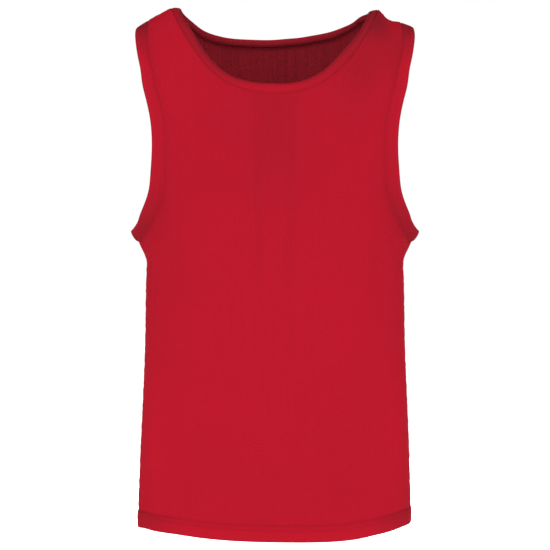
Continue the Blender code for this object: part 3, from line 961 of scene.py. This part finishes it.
class Value:
    """A socket with arithmetic; numbers on either side are taken as they are."""

    def __init__(self, graph, socket=None):
        self.graph, self.socket = graph, socket

    def node(self, kind, settings, inputs, output):
        """Any other node of the same graph: its settings first, then its sockets."""
        made = self.graph.nodes.new("ShaderNode" + kind)
        for key, value in settings.items():
            setattr(made, key, value)
        for slot in made.inputs:
            if slot.identifier in inputs:
                plug(slot, inputs[slot.identifier])
        return Value(self.graph, next(s for s in made.outputs if s.identifier == output))

    def maths(self, operation, *others):
        slots = dict(zip(("Value", "Value_001", "Value_002"), (self, *others)))
        return self.node("Math", {"operation": operation}, slots, "Value")

    __add__ = __radd__ = operator("ADD")
    __mul__ = __rmul__ = operator("MULTIPLY")
    __sub__ = operator("SUBTRACT")
    __truediv__ = operator("DIVIDE")
    __pow__ = operator("POWER")
    __abs__ = operator("ABSOLUTE")

    def __rsub__(self, other):
        return (self * -1) + other

    def to_nearest(self):
        """Signed distance to the nearest whole number."""
        return (self + 0.5).maths("FRACT") - 0.5

    def step_down(self, low, high):
        """1 below low, 0 above high, smooth between."""
        ends = {"Value": self, "From Min": low, "From Max": high, "To Min": 1, "To Max": 0}
        return self.node("MapRange", {"interpolation_type": "SMOOTHSTEP"}, ends, "Result")


def plug(slot, value):
    """Links a wrapped socket into a slot, or sets the slot's own value."""
    if isinstance(value, Value):
        slot.id_data.links.new(value.socket, slot)
    else:
        slot.default_value = value


def plug_all(node, values):
    for name, value in values.items():
        plug(node.inputs[name], value)


def mix_colour(share, low, high):
    """Colour between low and high by share."""
    slots = {"Factor_Float": share, "A_Color": low, "B_Color": high}
    return share.node("Mix", {"data_type": "RGBA"}, slots, "Result_Color")


print("socket maths ready")

# %% [markdown]
# ## Eyelet knit
# The holes sit in staggered columns three and a half millimetres apart. On so fine a net they
# stay shallow dimples: each is a round mask by its distance from the nearest lattice point,
# darkened as painted shade of the dim inside seen through a hole, and the same mask sinks the
# surface. Wales run up the cloth between them as faint ridges, and as no two needles knit quite
# alike, long soft streaks run up it too.

# %% Colours and sizes in the cloth
KNIT_RED = (0.568, 0.0096, 0.0262, 1.0)
# The deep red towards which both the cloth's own uneven tone and its painted shade are mixed
DEEP_RED_AND_SHADE = (0.200, 0.0110, 0.0190, 1.0)
# The holes' red is painted shade, the dim inside seen through them
SHADED_HOLE_RED = (0.260, 0.0080, 0.0150, 1.0)
# The inner faces are the same cloth in painted shade, with a deeper red for their own tone and their
# painted shadows
SHADED_INSIDE_RED = (0.352, 0.0172, 0.0285, 1.0)
RIB_RED = (0.558, 0.0095, 0.0258, 1.0)
SHADED_INSIDE_DEEP = (0.105, 0.0060, 0.0100, 1.0)
EYELET_PITCH = 0.0035
EYELET_RADIUS = (0.00035, 0.00080)
LOOP_WIDTH = 0.00088
LOOP_HEIGHT = 0.00070
LOOP_LEAN = 1.4
RIB_PITCH = 0.0014
BUMP_DEPTH = 0.0004
SPECULAR = 0.02
ROUGHNESS = {"knit": 0.82, "rib": 0.78, "thread": 0.5}
# Scale and detail of each noise in the object's metres, and of the streaks in the cut's
NOISE = {"knit_clouds": (14, 2), "knit_grain": (420, 2), "rib_clouds": (16, 2),
         "rib_grain": (500, 2), "fuzz": (900, 1), "twist": (1500, 1), "streaks": (1, 1)}
STREAKS = (330, 9)
# How much of the deep red each thing brings, and how far each stands up
# Of the knit's parts, the patches and the seam grooves bring painted shade and the lower part of the
# doubled hem painted light; the others are the cloth's own tone
KNIT_SHADE = {"even": 0.09, "soft": 0.254, "groove": 0.04, "clouds": 0.13, "grain": 0.08,
              "wale": 0.06, "loop": 0.05, "needle": 0.12, "hem_edge": -0.01, "hem_fold": -0.09}
# Of the rib's parts, the patches, the seam grooves and the fold's edge bring painted shade and the
# crest a painted highlight; the others are the cloth's own tone
RIB_SHADE = {"even": 0.06, "soft": 0.374, "groove": 0.02, "gap": 0.15, "clouds": 0.12,
             "grain": 0.12, "crest": -0.17, "fold": 0.34}
THREAD_SHADE = {"even": 0.25, "twist": 0.5}
INNER_SHADE = {"even": 0.0, "wale": 0.25, "hole": 0.25, "needle": 0.6}
KNIT_HEIGHT = {"even": 0.0, "wale": 0.12, "loop": 0.22, "hole": -1.0, "grain": 0.1}
RIB_HEIGHT = {"even": 0.0, "rib": 0.8, "grain": 0.2}
HOLE_SHADE = 0.45
# The stitch lines' painted shade in their troughs, and what it keeps where the painted shading
# is 0 and gains with it
NEEDLE_SHADE = (0.06, 0.12)
NEEDLE_KEPT = 0.7
NEEDLE_GAIN = 0.8
# Distances, in metres, over which lines and ledges fade
NEEDLE_FADE = (0.0007, 0.0024)
# Painted shade along the seam grooves
GROOVE_FADE = (0.0, 0.0035)
HEM_EDGE_FADE = (0.0205, 0.0225)
HEM_FOLD_FADE = (0.008, 0.017)
# Where a band's crest takes a painted highlight and its fold's edge painted shade
CREST_FADE = (0.0045, 0.0085)
FOLD_FADE = (0.0004, 0.0034)
# Painted shadow on an inner face just below the seam, under the ledge that stands there
KNIT_LEDGE = (0.0, 0.008)
KNIT_LEDGE_SHADE = 0.62
RIB_LEDGE = (0.0015, 0.0085)
RIB_LEDGE_SHADE = 0.72
print("holes in a square centimetre:", round(2.0 * (0.01 / EYELET_PITCH) ** 2))

# %% Makers of materials


def start_material(name, roughness):
    """A material whose even values sit on the shader's own sockets."""
    material = bpy.data.materials.new(name)
    material.use_nodes = True
    shader = material.node_tree.nodes["Principled BSDF"]
    plug_all(shader, {"Roughness": roughness, "Specular IOR Level": SPECULAR})
    return material, Value(material.node_tree), shader


def cut_place(graph):
    """The two distances, in metres, of a point in the flat cut."""
    uv = graph.node("UVMap", {"uv_map": "cut"}, {}, "UV")
    return [graph.node("SeparateXYZ", {}, {"Vector": uv}, axis) for axis in "XY"]


def layers_of(graph, *names):
    """The mesh's point layers of these names."""
    return [graph.node("Attribute", {"attribute_name": name}, {}, "Fac")
            for name in names]


def noise(place, kind):
    """Noise about 0."""
    scale, detail = NOISE[kind]
    slots = {"Vector": place, "Scale": scale, "Detail": detail}
    return place.node("TexNoise", {}, slots, "Fac") - 0.5


def uneven(graph, kind):
    return noise(graph.node("TexCoord", {}, {}, "Object"), kind)


def streaks(u, v):
    """Noise in the cut, stretched along it: each streak some 3 mm wide and 100 mm long."""
    across, along = STREAKS
    place = u.node("CombineXYZ", {}, {"X": u * across, "Y": v * along}, "Vector")
    return noise(place, "streaks")


def weighed(weights, **parts):
    """The even part + sum of weight * part."""
    return sum((part * weights[name] for name, part in parts.items()), weights["even"])


def finish_material(shader, colour, height):
    """The colour, and the height as a bump."""
    slots = {"Height": height, "Distance": BUMP_DEPTH, "Strength": 1}
    bump = height.node("Bump", {}, slots, "Normal")
    plug_all(shader, {"Base Color": colour, "Normal": bump})


# %% Knit


def eyelet_knit(name):
    """Dimples on a staggered lattice, sunk and painted in shade; V-shaped loops and wales between
    them.
    """
    material, graph, shader = start_material(name, ROUGHNESS["knit"])
    u, v = cut_place(graph)
    column, row = u / EYELET_PITCH, v / EYELET_PITCH
    squares = [(column + shift).to_nearest() ** 2 + (row + shift).to_nearest() ** 2
               for shift in (0, 0.5)]
    distance = squares[0].maths("MINIMUM", squares[1]) ** 0.5 * EYELET_PITCH
    hole = distance.step_down(*EYELET_RADIUS)
    wale = abs((column * 2 + 0.5).to_nearest()) * 2
    lean = abs((u / LOOP_WIDTH).to_nearest())
    loop = abs((v / LOOP_HEIGHT + lean * LOOP_LEAN).to_nearest()) * 2
    needle = streaks(u, v)
    above_hem, inside, soft, from_seam = layers_of(
        graph, "above_hem", "inside", "painted_shading", "seam_distance")
    # Painted shade in the troughs of the two stitch lines, deeper where the painted shading is
    lines = sum(abs(above_hem - line * MM).step_down(*NEEDLE_FADE) * dark
                for line, dark in zip(NEEDLE_LINES, NEEDLE_SHADE))
    # Painted shade from the patches and the seam grooves, and painted light on the lower hem
    shade = weighed(KNIT_SHADE, soft=soft, groove=from_seam.step_down(*GROOVE_FADE),
                    hem_edge=above_hem.step_down(*HEM_EDGE_FADE),
                    hem_fold=above_hem.step_down(*HEM_FOLD_FADE),
                    clouds=uneven(graph, "knit_clouds"),
                    grain=uneven(graph, "knit_grain"), wale=wale, loop=loop, needle=needle)
    red = mix_colour(shade + lines * (soft * NEEDLE_GAIN + NEEDLE_KEPT), KNIT_RED, DEEP_RED_AND_SHADE)
    # The holes in painted shade
    red = mix_colour(hole * HOLE_SHADE, red, SHADED_HOLE_RED)
    # The inner face in painted shade, deepened by the knit's own pattern
    shade = weighed(INNER_SHADE, wale=wale, hole=hole, needle=needle)
    inner_red = mix_colour(shade, SHADED_INSIDE_RED, SHADED_INSIDE_DEEP)
    # Painted shadow below the seam's ledge
    ledge_shadow = from_seam.step_down(*KNIT_LEDGE) * KNIT_LEDGE_SHADE
    inner_red = mix_colour(ledge_shadow, inner_red, SHADED_INSIDE_DEEP)
    height = weighed(KNIT_HEIGHT, wale=wale, loop=loop, hole=hole, grain=uneven(graph, "fuzz"))
    finish_material(shader, mix_colour(inside, red, inner_red), height)
    return material


knit = eyelet_knit("eyelet_knit")
print("material:", knit.name)

# %% Rib and thread


def rib_cloth(name):
    """Fine ribs square to the seam, with a painted highlight on the crest beside the rolled fold."""
    material, graph, shader = start_material(name, ROUGHNESS["rib"])
    u, v = cut_place(graph)
    rib = abs((u / RIB_PITCH).to_nearest()) * 2
    from_fold, inside, soft, from_seam = layers_of(
        graph, "from_fold", "inside", "painted_shading", "seam_distance")
    # Painted shade from the patches, the seam grooves and the fold's edge, and a painted highlight
    # on the crest beside it
    shade = weighed(RIB_SHADE, soft=soft, groove=from_seam.step_down(*GROOVE_FADE),
                    gap=1 - rib, clouds=uneven(graph, "rib_clouds"),
                    grain=uneven(graph, "rib_grain"), crest=from_fold.step_down(*CREST_FADE),
                    fold=from_fold.step_down(*FOLD_FADE))
    red = mix_colour(shade, RIB_RED, DEEP_RED_AND_SHADE)
    # Painted shadow below the seam's ledge
    ledge_shadow = from_seam.step_down(*RIB_LEDGE) * RIB_LEDGE_SHADE
    inner_red = mix_colour(ledge_shadow, SHADED_INSIDE_RED, SHADED_INSIDE_DEEP)
    height = weighed(RIB_HEIGHT, rib=rib, grain=uneven(graph, "fuzz"))
    finish_material(shader, mix_colour(inside, red, inner_red), height)
    return material


def sewing_thread(name):
    """Twisted polyester thread, a shade brighter than the cloth."""
    material, graph, shader = start_material(name, ROUGHNESS["thread"])
    shade = weighed(THREAD_SHADE, twist=uneven(graph, "twist"))
    plug_all(shader, {"Base Color": mix_colour(shade, RIB_RED, DEEP_RED_AND_SHADE)})
    return material


rib = rib_cloth("rib_cloth")
thread = sewing_thread("sewing_thread")
print("materials:", rib.name, thread.name)

# %% [markdown]
# ## Studio
# The picture has no shadows, a white ground and edges that darken only in their last few
# millimetres: even light comes from everywhere but from behind the garment. A ring of lamps
# could do this, but here the surroundings shine, by a plain formula of the direction, and show
# as white. Large soft lamps add a little relief in front and light the back.

# %% Light and floor
FLOOR = -1050.0
FLOOR_HALF = 12000.0
FLOOR_WHITE = (0.9, 0.9, 0.9, 1.0)
WHITE = (1.0, 1.0, 1.0, 1.0)
AROUND_LEVEL = 1.18
BEHIND_LEVEL = 0.1
BEHIND_FROM = (0.08, 0.58)
LESS_FROM_ABOVE = 0.3
FLOOR_GLOW = 0.6
# Name, place, size in metres, power in watts
LAMPS = (
    ("front_lamp", (-100.0, -2800.0, 700.0), 1.8, 6.0),
    ("back_lamp", (0.0, 3500.0, 300.0), 2.5, 100.0),
)


def make_world():
    """Level = around, falling to behind as y grows, less a share of z above the level, and
    plain white where it is seen."""
    world = bpy.data.worlds.new("studio")
    world.use_nodes = True
    graph = Value(world.node_tree)
    place = graph.node("TexCoord", {}, {}, "Generated")
    ahead, up = (graph.node("SeparateXYZ", {}, {"Vector": place}, axis) for axis in "YZ")
    level = ahead.step_down(*BEHIND_FROM) * (AROUND_LEVEL - BEHIND_LEVEL) + BEHIND_LEVEL
    level = level * (1 - up.maths("MAXIMUM", 0) * LESS_FROM_ABOVE)
    seen = graph.node("LightPath", {}, {}, "Is Camera Ray")
    plug_all(world.node_tree.nodes["Background"],
             {"Color": WHITE, "Strength": seen + (1 - seen) * level})
    bpy.context.scene.world = world


def soft_light(name, place, size, power):
    """A large area light aimed at the chest."""
    data = bpy.data.lights.new(name, "AREA")
    data.size = size
    data.energy = power
    put_and_aim(new_object(name, data), place)


def make_floor():
    """A pale square far below, which gives the cloth no light of its own."""
    corners = np.array([(-1, -1), (1, -1), (1, 1), (-1, 1)]) * FLOOR_HALF
    points = np.insert(corners, 2, FLOOR, axis=1) * MM
    mesh = bpy.data.meshes.new("floor")
    mesh.from_pydata(points.tolist(), [], [(0, 1, 2, 3)])
    material = bpy.data.materials.new("pale_floor")
    material.use_nodes = True
    plug_all(material.node_tree.nodes["Principled BSDF"],
             {"Base Color": FLOOR_WHITE, "Roughness": 0.95, "Emission Color": WHITE,
              "Emission Strength": FLOOR_GLOW})
    mesh.materials.append(material)
    floor = new_object("floor", mesh)
    floor.visible_diffuse = False


make_world()
for lamp in LAMPS:
    soft_light(*lamp)
make_floor()
bpy.context.scene.view_settings.view_transform = "Standard"
print("studio ready")

# %% [markdown]
# ## Into the frame
# Every piece takes its finish and rides on the garment's one body, and the imported node that it
# stands for is hidden.

# %% Pieces into the frame
PIECES = (
    (front_knit, knit, "eyelet_knit", "front_panel"),
    (back_knit, knit, "eyelet_knit", "back_panel"),
    (neck_band, rib, "rib_band", "neck_band"),
    (left_band, rib, "rib_band", "armhole_band_left"),
    (right_band, rib, "rib_band", "armhole_band_right"),
    (left_allowance, knit, "eyelet_knit", None),
    (right_allowance, knit, "eyelet_knit", None),
    (front_stitches, thread, "rib_band", None),
    (back_stitches, thread, "rib_band", None),
)
for piece, material, slot_name, stands_for in PIECES:
    piece.data.materials.append(material)
    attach(piece, "root")
    if stands_for:
        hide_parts(stands_for)
